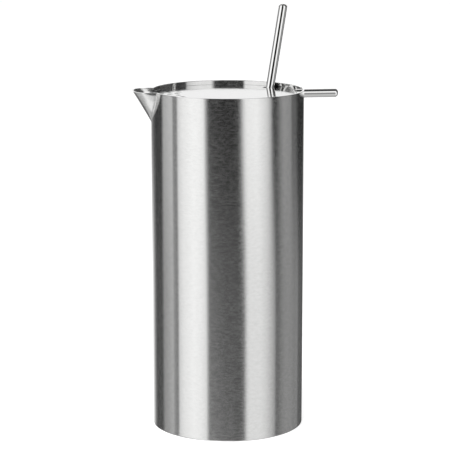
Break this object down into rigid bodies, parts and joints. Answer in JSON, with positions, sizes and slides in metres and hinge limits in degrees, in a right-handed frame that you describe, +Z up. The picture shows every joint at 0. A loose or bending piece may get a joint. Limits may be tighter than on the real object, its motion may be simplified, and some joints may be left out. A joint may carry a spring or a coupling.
{
  "type": "martini pitcher",
  "caption": "Tall straight-sided steel mixing pitcher with a scoop spout, a drop-in perforated strainer lid with a rod handle, and a leaning rod stirrer.",
  "frame": {"origin": "the middle of the base disc's underside, on the axis of the pitcher", "axes": "+Z up along the pitcher's axis, -X towards the spout, +X towards the lid's handle"},
  "size_m": [0.1152, 0.085, 0.2341],
  "materials": {
    "brushed_wall": "fine horizontal brushing",
    "brushed_base": "brushed",
    "brushed_spout": "fine brushed",
    "satin_lug": "satin",
    "mirror_plate": "mirror polished",
    "polished_handle": "polished",
    "polished_stem": "polished",
    "polished_spoon": "polished"
  },
  "bodies": {
    "pitcher": {"body_tube": "brushed_wall", "base_disc": "brushed_base", "spout": "brushed_spout", "rest_lug_left": "satin_lug", "rest_lug_right": "satin_lug"},
    "lid": {"strainer_plate": "mirror_plate", "lid_handle": "polished_handle"},
    "stirrer": {"stirrer_stem": "polished_stem", "stirrer_spoon": "polished_spoon"}
  },
  "joints": [
    {"name": "lid_lift", "type": "slide", "parent": "pitcher", "child": "lid", "axis": [0, 0, 1], "range_m": [0, 0.06]},
    {"name": "stirrer_lift", "type": "slide", "parent": "pitcher", "child": "stirrer", "axis": [0.1819, 0.1696, 0.9686], "range_m": [0, 0.14]}
  ]
}
